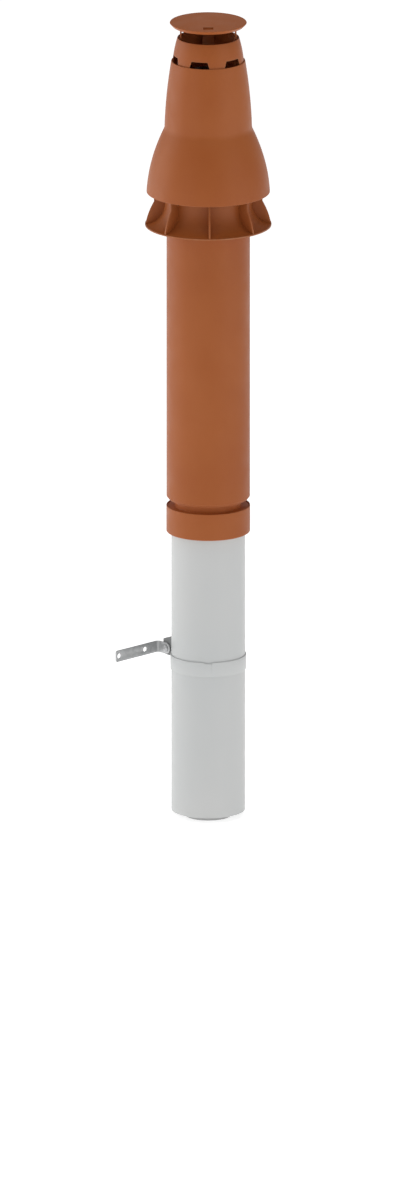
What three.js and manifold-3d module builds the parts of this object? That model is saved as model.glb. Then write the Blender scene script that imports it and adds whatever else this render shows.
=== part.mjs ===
// Roof flue terminal for a concentric pair of pipes, 80 mm in 125 mm, with its wall bracket.
// Millimetres, +Z up. The part stands on the lower end of its inner flue pipe.
import * as THREE from "three";
import { mergeVertices } from "three/addons/utils/BufferGeometryUtils.js";
import Module from "manifold-3d";

const wasm = await Module();
wasm.setup();

// Shared
const SEGMENTS = 40; // sides of every round piece
const CURVE_SEGMENTS = 8; // sides of each arc in a plate's outline
const GAP = 0.3; // clearance between pieces that touch
const INTO = 1; // how far a joined or cutting solid reaches into its neighbour

// Inner flue pipe
const FLUE_R = 40;
const FLUE_WALL = 2;
const FLUE_TOP = 1302;

// White outer pipe
const PIPE_R = 62.5;
const PIPE_WALL = 1.5;
const PIPE_BOTTOM = 10;
const PIPE_TURN = 180 / SEGMENTS; // degrees, half a side

// Collar: the ring around the joint, with a bottom flange, and the flanged neck inside it,
// which stands on the white pipe and makes the floor of the open cup between them
const COLLAR_R = 71;
const COLLAR_WALL = 2;
const COLLAR_BOTTOM = 498.4;
const COLLAR_TOP = 544.3;
const COLLAR_CHAMFER = 1.5;
const COLLAR_PLATE = 2.5; // thickness of its bottom flange
const NECK_R = 56;
const NECK_WALL = 2;
const NECK_FLANGE_TOP = 543;
const NECK_FLANGE = 5.5;
const NECK_TOP = 600;

// Terracotta outer tube
const TUBE_R = 70.7;
const TUBE_WALL = 2;
const TUBE_BOTTOM = 560;
const TUBE_TOP = 1180;
const TUBE_STEP_R = 68; // the tube ends in a narrower step, closed by a flange
const TUBE_STEP = 3.4;
const TUBE_FLANGE = 2.5;

// Deflector: brim, sleeve and ribs
const BRIM_R = 107.2;
const BRIM_Z = 1035;
const BRIM_RISE = 38;
const BRIM_WALL = 2;
const BRIM_STEPS = 7;
const SLEEVE_WALL = 2.4;
const SLEEVE_TOP = 1150;
const RIB_COUNT = 8;
const RIB_THICK = 3;
const RIB_TURN = 1.3; // degrees
const RIB_SHOULDER_R = 92;
const RIB_SHOULDER_Z = 1076;
const RIB_BOW = 2;
const RIB_EDGE_STEPS = 4;
const RIB_TOP = 1160;
const RIB_CLEAR = 0.8; // between the ribs and the round wall that rests on them

// Hood: upper cone, crease and bell skirt
const HOOD_TOP_R = 62.7;
const HOOD_TOP_Z = 1323;
const CREASE_R = 74.3;
const CREASE_Z = 1205;
const SKIRT_R = 104.7;
const SKIRT_Z = 1093;
const CONE_BOW = 2.1;
const SKIRT_BOW = 6.1;
const HOOD_WALL = 2.2;
const HOOD_STEPS = 6; // steps along each of the two curves
const HOOD_INNER_STEPS = 4; // along the cone's inside, below the floor
const HOOD_NECK_STEPS = 2; // and above it
const HOOD_FLOOR_Z = 1290;
const HOOD_FLOOR = 2.5;

// Outlet ring
const OUTLET_TOP_R = 52.3;
const OUTLET_TOP_Z = 1363.5;
const OUTLET_BOW = 1.2;
const OUTLET_WALL = 1.8;
const OUTLET_STEPS = 5;
const NOTCH_COUNT = 6;
const NOTCH_FIRST = 45; // degrees from the front, to the right
const NOTCH_TOP_Z = 1334;
const NOTCH_TOP_ANGLE = 27;
const NOTCH_RIM_ANGLE = 34;

// Rain cap
const CAP_R = 65.4;
const CAP_TOP = 1390;
const CAP_DOME = 1.2;
const CAP_DOME_HALFWAY = 0.9; // height of the dome at half the radius
const CAP_PLATE = 2.2;
const CAP_LIP = 6.2;
const CAP_LIP_R = 60.5; // outer radius of the lip's lower rim; the lip widens upwards from it
const CAP_LIP_WALL = 2;
const CAP_LIP_ROOT = 3.2; // from the edge of the cap in to the root of the lip's inner face
const CAP_EDGE = 0.8; // bevel around its top
const LEG_COUNT = 3;
const LEG_FIRST = 90; // degrees from the front, to the right
const LEG_STEP = 90; // one leg on each side and one behind; the front is open
const LEG_R = 46.5;
const LEG_WIDE = 20;
const LEG_THICK = 3;
const RECESS_WIDE = 17.5;
const RECESS_LONG = 16;
const RECESS_DEEP = 3;

// Bracket: strap around the pipe, its ears, and the bent arm
const STRAP_TOP = 283;
const STRAP_TALL = 25;
const STRAP_THICK = 1.5;
const STRAP_NOTCH_WIDE = 13;
const STRAP_NOTCH_DEEP = 2;
const EAR_SPACE = 2; // between the two ears
const EAR_END_R = 105;
const EAR_PEAK_R = 87; // the ears are tallest here
const EAR_TOP = [283, 296.5, 290]; // at the strap, at the peak and at the end
const EAR_LOW = [258, 262.5, 263.8];
const ARM_TALL = 19.5;
const ARM_BOTTOM = 264.8;
const ARM_THICK = 2.5;
const ARM_START_R = 87.5; // its round end
const ARM_BEND_R = 118;
const ARM_BEND_RADIUS = 4; // inside of the bend
const ARM_BEND_STEPS = 5;
const ARM_LEG = 104.5;
const ARM_CORNER = 3;
const SCREW_HOLE_R = 4.5;
const SCREW_FROM_END = [7, 69];
const BOLT_R = 3;
const BOLT_HEAD_R = 6;
const BOLT_HEAD = 3.5;
const BOLT_AT_R = 97;
const BOLT_SIDES = 16;
const NUT_SIDES = 6;
const BRACKET_TURN = 135; // degrees from the front, to the left

// The pipes' axis stands aside of the middle, because the arm reaches further than the brim.
const ARM_REACH = (ARM_BEND_R + ARM_LEG) * Math.SQRT1_2;
const AXIS_X = (ARM_REACH - BRIM_R) / 2;

const degrees = (angle) => (angle * Math.PI) / 180;

// Materials
const finish = (color, roughness, metalness) =>
  new THREE.MeshStandardMaterial({ color, roughness, metalness });
const terracotta = () => finish(0x9b5b38, 0.6, 0);
const whitePaint = () => finish(0xd8dad8, 0.45, 0);
const palePlastic = () => finish(0xc4c6c4, 0.5, 0);
const galvanised = () => finish(0x8c8f90, 0.4, 0.9);

// Solids and meshes
function solidOf(geometry) {
  const bare = geometry.clone();
  bare.deleteAttribute("normal");
  bare.deleteAttribute("uv");
  const merged = mergeVertices(bare, 1e-4);
  const triVerts = [];
  for (let i = 0; i < merged.index.count; i += 3) {
    const [a, b, c] = merged.index.array.slice(i, i + 3);
    if (a !== b && b !== c && c !== a) triVerts.push(a, b, c);
  }
  return new wasm.Manifold(
    new wasm.Mesh({
      numProp: 3,
      vertProperties: merged.attributes.position.array,
      triVerts: new Uint32Array(triVerts),
    }),
  );
}

function meshOf(name, solid, material) {
  const { numProp, vertProperties, triVerts } = solid.getMesh();
  const corners = new Float32Array((vertProperties.length / numProp) * 3);
  for (let i = 0; i < corners.length / 3; i++) {
    corners.set(vertProperties.subarray(i * numProp, i * numProp + 3), i * 3);
  }
  const geometry = new THREE.BufferGeometry();
  geometry.setAttribute("position", new THREE.BufferAttribute(corners, 3));
  geometry.setIndex(new THREE.BufferAttribute(triVerts, 1));
  geometry.computeVertexNormals();
  const mesh = new THREE.Mesh(geometry, material);
  mesh.name = name;
  return mesh;
}

// An outline of [radius, height] corners, anticlockwise, turned about +Z.
// It starts and ends on the axis, or else it is closed here.
function turned(outline) {
  const onAxis = outline[0][0] === 0;
  const corners = onAxis ? outline : [...outline, outline[0]];
  const points = corners.map(([r, z]) => new THREE.Vector2(r, z));
  const geometry = new THREE.LatheGeometry(points, SEGMENTS);
  geometry.rotateX(Math.PI / 2);
  return solidOf(geometry);
}

// A plate that stands on edge: its shape's first coordinate runs along +X and its second along +Z.
function standing(shape, thick) {
  const geometry = new THREE.ExtrudeGeometry(shape, {
    depth: thick,
    curveSegments: CURVE_SEGMENTS,
    bevelEnabled: false,
  });
  geometry.translate(0, 0, -thick / 2);
  geometry.rotateX(Math.PI / 2);
  return geometry;
}

// Points from one [radius, height] to another along a line that bows outwards in the middle.
function bowed(from, to, bow, steps) {
  const points = [];
  for (let i = 0; i <= steps; i++) {
    const t = i / steps;
    points.push([
      THREE.MathUtils.lerp(from[0], to[0], t) + 4 * bow * t * (1 - t),
      THREE.MathUtils.lerp(from[1], to[1], t),
    ]);
  }
  return points;
}

const movedIn = (points, distance) => points.map(([r, z]) => [r - distance, z]);

function innerFluePipe() {
  const inside = FLUE_R - FLUE_WALL;
  const solid = turned([
    [inside, 0],
    [FLUE_R, 0],
    [FLUE_R, FLUE_TOP],
    [inside, FLUE_TOP],
  ]);
  return meshOf("inner_flue_pipe", solid, palePlastic());
}

function outerPipe() {
  const inside = PIPE_R - PIPE_WALL;
  const top = NECK_FLANGE_TOP - NECK_FLANGE - GAP;
  const solid = turned([
    [inside, PIPE_BOTTOM],
    [PIPE_R, PIPE_BOTTOM],
    [PIPE_R, top],
    [inside, top],
  ]);
  const pipe = meshOf("outer_pipe", solid, whitePaint());
  pipe.rotation.z = degrees(PIPE_TURN);
  return pipe;
}

function collar() {
  const wallInside = COLLAR_R - COLLAR_WALL;
  const flangeInside = PIPE_R + GAP;
  const solid = turned([
    [flangeInside, COLLAR_BOTTOM],
    [COLLAR_R - COLLAR_CHAMFER, COLLAR_BOTTOM],
    [COLLAR_R, COLLAR_BOTTOM + COLLAR_CHAMFER],
    [COLLAR_R, COLLAR_TOP],
    [wallInside, COLLAR_TOP],
    [wallInside, COLLAR_BOTTOM + COLLAR_PLATE],
    [flangeInside, COLLAR_BOTTOM + COLLAR_PLATE],
  ]);
  return meshOf("collar", solid, terracotta());
}

function collarNeck() {
  const inside = NECK_R - NECK_WALL;
  const flangeR = COLLAR_R - COLLAR_WALL - GAP;
  const solid = turned([
    [inside, NECK_FLANGE_TOP - NECK_FLANGE],
    [flangeR, NECK_FLANGE_TOP - NECK_FLANGE],
    [flangeR, NECK_FLANGE_TOP],
    [NECK_R, NECK_FLANGE_TOP],
    [NECK_R, NECK_TOP],
    [inside, NECK_TOP],
  ]);
  return meshOf("collar_neck", solid, terracotta());
}

function outerTube() {
  const inside = TUBE_R - TUBE_WALL;
  const flangeInside = NECK_R + GAP;
  const foot = TUBE_BOTTOM - TUBE_STEP;
  const solid = turned([
    [flangeInside, foot],
    [TUBE_STEP_R, foot],
    [TUBE_STEP_R, TUBE_BOTTOM],
    [TUBE_R, TUBE_BOTTOM],
    [TUBE_R, TUBE_TOP],
    [inside, TUBE_TOP],
    [inside, TUBE_BOTTOM + TUBE_WALL],
    [TUBE_STEP_R - TUBE_WALL, TUBE_BOTTOM + TUBE_WALL],
    [TUBE_STEP_R - TUBE_WALL, foot + TUBE_FLANGE],
    [flangeInside, foot + TUBE_FLANGE],
  ]);
  return meshOf("outer_tube", solid, terracotta());
}

// Quarter of an ellipse, from the flat rim of the brim up to the sleeve.
function brimCurve(rimR, rimZ, sleeveR, rise) {
  const points = [];
  for (let i = 0; i <= BRIM_STEPS; i++) {
    const angle = (i / BRIM_STEPS) * (Math.PI / 2);
    points.push([
      rimR - (rimR - sleeveR) * Math.sin(angle),
      rimZ + rise * (1 - Math.cos(angle)),
    ]);
  }
  return points;
}

function deflector() {
  const sleeveInside = TUBE_R + GAP;
  const sleeveOutside = sleeveInside + SLEEVE_WALL;
  const under = brimCurve(BRIM_R, BRIM_Z, sleeveInside, BRIM_RISE);
  const over = brimCurve(BRIM_R, BRIM_Z + BRIM_WALL, sleeveOutside, BRIM_RISE);
  let solid = turned([
    ...over,
    [sleeveOutside, SLEEVE_TOP],
    [sleeveInside, SLEEVE_TOP],
    ...under.reverse(),
  ]);

  const sleeveMiddle = sleeveInside + SLEEVE_WALL / 2;
  const seat = brimCurve(BRIM_R - INTO, BRIM_Z + BRIM_WALL / 2, sleeveMiddle, BRIM_RISE);
  const edge = bowed(
    [BRIM_R - INTO, BRIM_Z + BRIM_WALL],
    [RIB_SHOULDER_R, RIB_SHOULDER_Z],
    RIB_BOW,
    RIB_EDGE_STEPS,
  );
  const shoulder = [
    [RIB_SHOULDER_R, ribMeetsHood()],
    [hoodInside(RIB_TOP) - RIB_CLEAR, RIB_TOP],
    [sleeveMiddle, SLEEVE_TOP - INTO],
  ];
  const outline = [...edge, ...shoulder, ...seat.reverse().slice(0, -1)];
  const shape = new THREE.Shape(outline.map(([r, z]) => new THREE.Vector2(r, z)));
  const rib = standing(shape, RIB_THICK);
  for (let i = 0; i < RIB_COUNT; i++) {
    const turn = degrees((i * 360) / RIB_COUNT + RIB_TURN - 90);
    solid = solid.add(solidOf(rib.clone().rotateZ(turn)));
  }
  return meshOf("deflector", solid, terracotta());
}

// Outer radius of the hood at a height.
function hoodRadius(z) {
  const onCone = z > CREASE_Z;
  const [endR, endZ, bow] = onCone
    ? [HOOD_TOP_R, HOOD_TOP_Z, CONE_BOW]
    : [SKIRT_R, SKIRT_Z, SKIRT_BOW];
  const t = (z - CREASE_Z) / (endZ - CREASE_Z);
  return THREE.MathUtils.lerp(CREASE_R, endR, t) + 4 * bow * t * (1 - t);
}

const hoodInside = (z) => hoodRadius(z) - HOOD_WALL;

// Height at which the upright outer edge of a rib comes up against the hood.
function ribMeetsHood() {
  let z = SKIRT_Z;
  while (hoodInside(z + 1) - RIB_CLEAR > RIB_SHOULDER_R) z += 1;
  return z;
}

// Points on a wall whose radius is a function of height.
function along(radiusAt, fromZ, toZ, steps) {
  const points = [];
  for (let i = 0; i <= steps; i++) {
    const z = THREE.MathUtils.lerp(fromZ, toZ, i / steps);
    points.push([radiusAt(z), z]);
  }
  return points;
}

function hood() {
  const floorTop = HOOD_FLOOR_Z + HOOD_FLOOR;
  const floorHole = FLUE_R + GAP;
  const solid = turned([
    ...along(hoodRadius, SKIRT_Z, CREASE_Z, HOOD_STEPS),
    ...along(hoodRadius, CREASE_Z, HOOD_TOP_Z, HOOD_STEPS).slice(1),
    ...along(hoodInside, HOOD_TOP_Z, floorTop, HOOD_NECK_STEPS),
    [floorHole, floorTop],
    [floorHole, HOOD_FLOOR_Z],
    ...along(hoodInside, HOOD_FLOOR_Z, CREASE_Z, HOOD_INNER_STEPS),
    ...along(hoodInside, CREASE_Z, SKIRT_Z, HOOD_STEPS).slice(1),
  ]);
  return meshOf("hood", solid, terracotta());
}

function outletRing() {
  const foot = HOOD_FLOOR_Z + HOOD_FLOOR + GAP;
  const rimR = hoodInside(HOOD_TOP_Z) - GAP;
  const outside = bowed([rimR, HOOD_TOP_Z], [OUTLET_TOP_R, OUTLET_TOP_Z], OUTLET_BOW, OUTLET_STEPS);
  const inside = movedIn(outside, OUTLET_WALL).reverse();
  let solid = turned([[rimR, foot], ...outside, ...inside, [rimR - OUTLET_WALL, foot]]);

  const halfWidth = (angle) => rimR * Math.sin(degrees(angle / 2));
  const top = halfWidth(NOTCH_TOP_ANGLE);
  const low = halfWidth(NOTCH_RIM_ANGLE);
  const notch = new THREE.Shape([
    new THREE.Vector2(-low, foot - INTO),
    new THREE.Vector2(low, foot - INTO),
    new THREE.Vector2(low, HOOD_TOP_Z),
    new THREE.Vector2(top, NOTCH_TOP_Z),
    new THREE.Vector2(-top, NOTCH_TOP_Z),
    new THREE.Vector2(-low, HOOD_TOP_Z),
  ]);
  for (let i = 0; i < NOTCH_COUNT; i++) {
    const cutter = new THREE.ExtrudeGeometry(notch, { depth: rimR + INTO, bevelEnabled: false });
    cutter.rotateX(Math.PI / 2);
    cutter.rotateZ(degrees(NOTCH_FIRST + (i * 360) / NOTCH_COUNT));
    solid = solid.subtract(solidOf(cutter));
  }
  return meshOf("outlet_ring", solid, terracotta());
}

// A box whose middle stands at a radius in front of the axis, turned to an azimuth.
function boxAt(wide, long, low, high, radius, azimuth) {
  const box = new THREE.BoxGeometry(wide, long, high - low);
  box.translate(0, -radius, (high + low) / 2);
  box.rotateZ(degrees(azimuth));
  return solidOf(box);
}

function rainCap() {
  const under = CAP_TOP - CAP_PLATE;
  let solid = turned([
    [0, under + CAP_DOME],
    [CAP_R - CAP_LIP_ROOT, under],
    [CAP_LIP_R - CAP_LIP_WALL, CAP_TOP - CAP_LIP],
    [CAP_LIP_R, CAP_TOP - CAP_LIP],
    [CAP_R, CAP_TOP - CAP_EDGE],
    [CAP_R - CAP_EDGE, CAP_TOP],
    [CAP_R / 2, CAP_TOP + CAP_DOME_HALFWAY],
    [0, CAP_TOP + CAP_DOME],
  ]);
  const foot = HOOD_FLOOR_Z + HOOD_FLOOR + GAP;
  for (let i = 0; i < LEG_COUNT; i++) {
    const azimuth = LEG_FIRST + i * LEG_STEP;
    solid = solid.add(boxAt(LEG_WIDE, LEG_THICK, foot, under + INTO, LEG_R, azimuth));
  }
  const pocketFloor = CAP_TOP - RECESS_DEEP;
  const pocketSide = (LEG_WIDE - RECESS_WIDE) / 2;
  const pocketBody = boxAt(
    LEG_WIDE,
    RECESS_LONG + 2 * pocketSide,
    pocketFloor - CAP_PLATE,
    under + INTO,
    LEG_R,
    0,
  );
  const pocket = boxAt(RECESS_WIDE, RECESS_LONG, pocketFloor, CAP_TOP + 2 * INTO, LEG_R, 0);
  return meshOf("rain_cap", solid.add(pocketBody).subtract(pocket), terracotta());
}

// The bracket is drawn in a frame of its own: +X away from the pipes, +Y along the arm's long leg.
function bracketStrap() {
  const inside = PIPE_R + GAP;
  const outside = inside + STRAP_THICK;
  const low = STRAP_TOP - STRAP_TALL;
  let solid = turned([
    [inside, low],
    [outside, low],
    [outside, STRAP_TOP],
    [inside, STRAP_TOP],
  ]);
  const slit = new THREE.BoxGeometry(2 * INTO + STRAP_THICK, EAR_SPACE, STRAP_TALL + 2 * INTO);
  slit.translate((inside + outside) / 2, 0, STRAP_TOP - STRAP_TALL / 2);
  solid = solid.subtract(solidOf(slit));

  const rootR = (inside + outside) / 2;
  const ear = standing(
    new THREE.Shape([
      new THREE.Vector2(rootR, EAR_LOW[0]),
      new THREE.Vector2(EAR_PEAK_R, EAR_LOW[1]),
      new THREE.Vector2(EAR_END_R, EAR_LOW[2]),
      new THREE.Vector2(EAR_END_R, EAR_TOP[2]),
      new THREE.Vector2(EAR_PEAK_R, EAR_TOP[1]),
      new THREE.Vector2(rootR, EAR_TOP[0]),
    ]),
    STRAP_THICK,
  );
  const aside = (EAR_SPACE + STRAP_THICK) / 2;
  for (const side of [-aside, aside]) {
    solid = solid.add(solidOf(ear.clone().translate(0, side, 0)));
  }
  const notchLow = STRAP_TOP - STRAP_NOTCH_DEEP;
  const frontHere = 90 + BRACKET_TURN;
  const notch = boxAt(STRAP_NOTCH_WIDE, STRAP_TALL, notchLow, STRAP_TOP + INTO, PIPE_R, frontHere);
  solid = solid.subtract(notch).subtract(acrossBracket(BOLT_R + GAP, -ARM_LEG, ARM_LEG));
  return meshOf("bracket_strap", solid, whitePaint());
}

// A round bar across the bracket, through its bolt hole, from one place on Y to another.
function acrossBracket(radius, from, to, sides = BOLT_SIDES) {
  const bar = new THREE.CylinderGeometry(radius, radius, to - from, sides);
  bar.translate(BOLT_AT_R, (from + to) / 2, ARM_BOTTOM + ARM_TALL / 2);
  return solidOf(bar);
}

function bracketBolt() {
  const nearFace = EAR_SPACE / 2 + STRAP_THICK + GAP + ARM_THICK + GAP;
  const farFace = -(EAR_SPACE / 2 + STRAP_THICK + GAP);
  const solid = acrossBracket(BOLT_R, farFace - BOLT_HEAD, nearFace + INTO)
    .add(acrossBracket(BOLT_HEAD_R, nearFace, nearFace + BOLT_HEAD))
    .add(acrossBracket(BOLT_HEAD_R, farFace - BOLT_HEAD, farFace, NUT_SIDES));
  return meshOf("bracket_bolt", solid, galvanised());
}

function bracketArm() {
  const near = EAR_SPACE / 2 + STRAP_THICK + GAP;
  const outerBend = ARM_BEND_RADIUS + ARM_THICK;
  const bendX = ARM_BEND_R - outerBend;
  const bendY = near + outerBend;
  const plan = new THREE.Shape();
  plan.moveTo(ARM_START_R, near);
  plan.absarc(bendX, bendY, outerBend, -Math.PI / 2, 0, false);
  plan.lineTo(ARM_BEND_R, ARM_LEG);
  plan.lineTo(ARM_BEND_R - ARM_THICK, ARM_LEG);
  plan.absarc(bendX, bendY, ARM_BEND_RADIUS, 0, -Math.PI / 2, true);
  plan.lineTo(ARM_START_R, near + ARM_THICK);
  const strip = new THREE.ExtrudeGeometry(plan, {
    depth: ARM_TALL,
    curveSegments: ARM_BEND_STEPS,
    bevelEnabled: false,
  });
  strip.translate(0, 0, ARM_BOTTOM);

  const middle = ARM_BOTTOM + ARM_TALL / 2;
  const top = ARM_BOTTOM + ARM_TALL;
  const longSide = new THREE.Shape();
  longSide.moveTo(-INTO, ARM_BOTTOM);
  longSide.absarc(ARM_LEG - ARM_CORNER, ARM_BOTTOM + ARM_CORNER, ARM_CORNER, -Math.PI / 2, 0, false);
  longSide.absarc(ARM_LEG - ARM_CORNER, top - ARM_CORNER, ARM_CORNER, 0, Math.PI / 2, false);
  longSide.lineTo(-INTO, top);
  const shortSide = new THREE.Shape();
  shortSide.moveTo(ARM_BEND_R + INTO, ARM_BOTTOM);
  shortSide.lineTo(ARM_BEND_R + INTO, top);
  shortSide.absarc(ARM_START_R + ARM_TALL / 2, middle, ARM_TALL / 2, Math.PI / 2, -Math.PI / 2, false);
  let solid = solidOf(strip)
    .intersect(solidOf(standing(longSide, 3 * ARM_BEND_R).rotateZ(Math.PI / 2)))
    .intersect(solidOf(standing(shortSide, 3 * ARM_LEG)))
    .subtract(acrossBracket(BOLT_R + GAP, 0, bendY));
  for (const fromEnd of SCREW_FROM_END) {
    const drill = new THREE.CylinderGeometry(SCREW_HOLE_R, SCREW_HOLE_R, 4 * ARM_THICK, BOLT_SIDES);
    drill.rotateZ(Math.PI / 2);
    drill.translate(ARM_BEND_R, ARM_LEG - fromEnd, middle);
    solid = solid.subtract(solidOf(drill));
  }
  return meshOf("bracket_arm", solid, galvanised());
}

const bracket = new THREE.Group();
bracket.add(bracketStrap(), bracketArm(), bracketBolt());
bracket.rotation.z = degrees(-90 - BRACKET_TURN);

const terminal = new THREE.Group();
terminal.add(
  innerFluePipe(),
  outerPipe(),
  collar(),
  collarNeck(),
  outerTube(),
  deflector(),
  hood(),
  outletRing(),
  rainCap(),
  bracket,
);
terminal.position.x = AXIS_X;

const part = new THREE.Group();
part.add(terminal);

export default part;
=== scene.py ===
from math import asin, cos, degrees, pi, radians, sin, tan

import bmesh
import bpy
from mathutils import Matrix, Vector


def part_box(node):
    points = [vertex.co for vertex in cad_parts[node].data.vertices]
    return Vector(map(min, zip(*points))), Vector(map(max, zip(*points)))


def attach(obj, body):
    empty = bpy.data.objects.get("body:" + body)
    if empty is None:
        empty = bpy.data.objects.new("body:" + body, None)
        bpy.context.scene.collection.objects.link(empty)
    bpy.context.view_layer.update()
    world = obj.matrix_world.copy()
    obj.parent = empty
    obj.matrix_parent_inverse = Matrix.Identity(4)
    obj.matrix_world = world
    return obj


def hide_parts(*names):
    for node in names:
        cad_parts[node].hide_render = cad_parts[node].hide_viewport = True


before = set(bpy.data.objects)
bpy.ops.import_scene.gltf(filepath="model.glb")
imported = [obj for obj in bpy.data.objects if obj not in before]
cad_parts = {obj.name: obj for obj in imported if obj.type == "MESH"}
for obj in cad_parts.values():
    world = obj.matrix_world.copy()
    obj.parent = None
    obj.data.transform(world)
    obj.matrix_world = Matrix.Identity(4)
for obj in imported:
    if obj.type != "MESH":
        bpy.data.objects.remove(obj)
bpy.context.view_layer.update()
print("frame:", len(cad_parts), "nodes")

# Sizes are in millimetres and degrees here and become metres in the meshes.
# An azimuth is 0 at the front (-Y) and grows to the right (+X).
mm = 0.001
lowest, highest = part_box("inner_flue_pipe")
axisX = (lowest.x + highest.x) / 2  # the pipes stand beside the middle, since the arm reaches left
bracketTurn = 135  # from the front to the left
inBracket = (Matrix.Translation((axisX, 0, 0))
             @ Matrix.Rotation(radians(-90 - bracketTurn), 4, "Z"))  # +X points away from the pipes
scene = bpy.context.scene
gap = 0.3  # between pieces that touch
into = 1  # how far a joined or cutting solid reaches into its neighbour
unsupported = 1e4  # no support points beside the roundings of a sheet's outline
sides = 144  # around every turned piece


# Shader and geometry trees

def addNode(tree, kind, column, row, **settings):
    node = tree.nodes.new(kind)
    node.location = (column * 190, row * -170)
    for name, value in settings.items():
        setattr(node, name, value)
    return node


def newTree(name, sockets):
    tree = bpy.data.node_groups.new(name, "GeometryNodeTree")
    tree.interface.new_socket("Geometry", in_out="INPUT", socket_type="NodeSocketGeometry")
    for label, kind in sockets:
        tree.interface.new_socket(label, in_out="INPUT", socket_type="NodeSocket" + kind)
    tree.interface.new_socket("Geometry", in_out="OUTPUT", socket_type="NodeSocketGeometry")
    return tree, addNode(tree, "NodeGroupInput", -5, 0), addNode(tree, "NodeGroupOutput", 5, 0)


def settle(piece):  # what the modifiers make becomes the piece's own mesh
    graph = bpy.context.evaluated_depsgraph_get()
    made = bpy.data.meshes.new_from_object(piece.evaluated_get(graph), depsgraph=graph)
    piece.modifiers.clear()
    piece.data = made
    made.name = piece.name
    return piece


def runTree(piece, tree, **values):
    modifier = piece.modifiers.new(tree.name, "NODES")
    modifier.node_group = tree
    for socket in tree.interface.items_tree:
        label = socket.name[0].lower() + socket.name[1:].replace(" ", "")
        if socket.in_out == "INPUT" and label in values:
            modifier[socket.identifier] = values[label]
    return settle(piece)


# Materials. Each is a grain on Object coordinates with its own wear and bump.

def newMaterial(name, **fixed):
    material = bpy.data.materials.new(name)
    material.use_nodes = True
    shader = material.node_tree.nodes["Principled BSDF"]
    for label, value in fixed.items():
        shader.inputs[label].default_value = value
    place = addNode(material.node_tree, "ShaderNodeTexCoord", -9, 0)
    return material, material.node_tree, shader, place.outputs["Object"]


def stretched(tree, place, scale, row):
    mapping = addNode(tree, "ShaderNodeMapping", -8, row)
    mapping.inputs["Scale"].default_value = scale
    tree.links.new(place, mapping.inputs["Vector"])
    return mapping.outputs["Vector"]


def noise(tree, place, scale, row, detail=2.0, roughness=0.5):
    texture = addNode(tree, "ShaderNodeTexNoise", -7, row)
    texture.inputs["Scale"].default_value = scale
    texture.inputs["Detail"].default_value = detail
    texture.inputs["Roughness"].default_value = roughness
    tree.links.new(place, texture.inputs["Vector"])
    return texture.outputs["Fac"]


def ramp(tree, value, stops, row, column=-5):
    node = addNode(tree, "ShaderNodeValToRGB", column, row)
    elements = node.color_ramp.elements
    while len(elements) < len(stops):
        elements.new(0.5)
    for element, (position, color) in zip(elements, stops):
        element.position = position
        element.color = (*color, 1)
    tree.links.new(value, node.inputs["Fac"])
    return node.outputs["Color"]


def spread(tree, value, fromLow, fromHigh, toLow, toHigh, row, column=-5):
    node = addNode(tree, "ShaderNodeMapRange", column, row)
    for label, number in zip(("From Min", "From Max", "To Min", "To Max"),
                             (fromLow, fromHigh, toLow, toHigh)):
        node.inputs[label].default_value = number
    tree.links.new(value, node.inputs["Value"])
    return node.outputs["Result"]


def times(tree, first, second, row, column=-4):
    node = addNode(tree, "ShaderNodeMath", column, row, operation="MULTIPLY")
    tree.links.new(first, node.inputs[0])
    tree.links.new(second, node.inputs[1])
    return node.outputs["Value"]


def mixed(tree, factor, first, second, row, column=-3, blend="MIX"):
    node = addNode(tree, "ShaderNodeMix", column, row, data_type="RGBA", blend_type=blend)
    tree.links.new(factor, node.inputs["Factor"])
    for socket, color in ((node.inputs[6], first), (node.inputs[7], second)):
        if isinstance(color, tuple):
            socket.default_value = (*color, 1)
        else:
            tree.links.new(color, socket)
    return node.outputs[2]


def bumps(tree, shader, layers):  # layers: (height, strength, depth in mm), coarse first
    normal = None
    for step, (height, strength, depth) in enumerate(layers):
        node = addNode(tree, "ShaderNodeBump", -2 + step * 0.8, 5)
        node.inputs["Strength"].default_value = strength
        node.inputs["Distance"].default_value = depth * mm
        tree.links.new(height, node.inputs["Height"])
        if normal:
            tree.links.new(normal, node.inputs["Normal"])
        normal = node.outputs["Normal"]
    tree.links.new(normal, shader.inputs["Normal"])


def wornEdges(tree, place, amount, row):  # 0 on the flats, up to amount on outward edges
    sharp = addNode(tree, "ShaderNodeNewGeometry", -8, row).outputs["Pointiness"]
    edge = spread(tree, sharp, 0.515, 0.56, 0, amount, row)
    patchy = spread(tree, noise(tree, place, 55, row, detail=4), 0.35, 0.65, 0.3, 1, row, -4.5)
    return times(tree, edge, patchy, row)


terracotta = {
    "deep": (0.312, 0.078, 0.016),
    "middle": (0.33, 0.088, 0.019),
    "pale": (0.352, 0.099, 0.024),
    "dust": (0.40, 0.20, 0.11),
    "edgeWear": 0.45,
}


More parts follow.
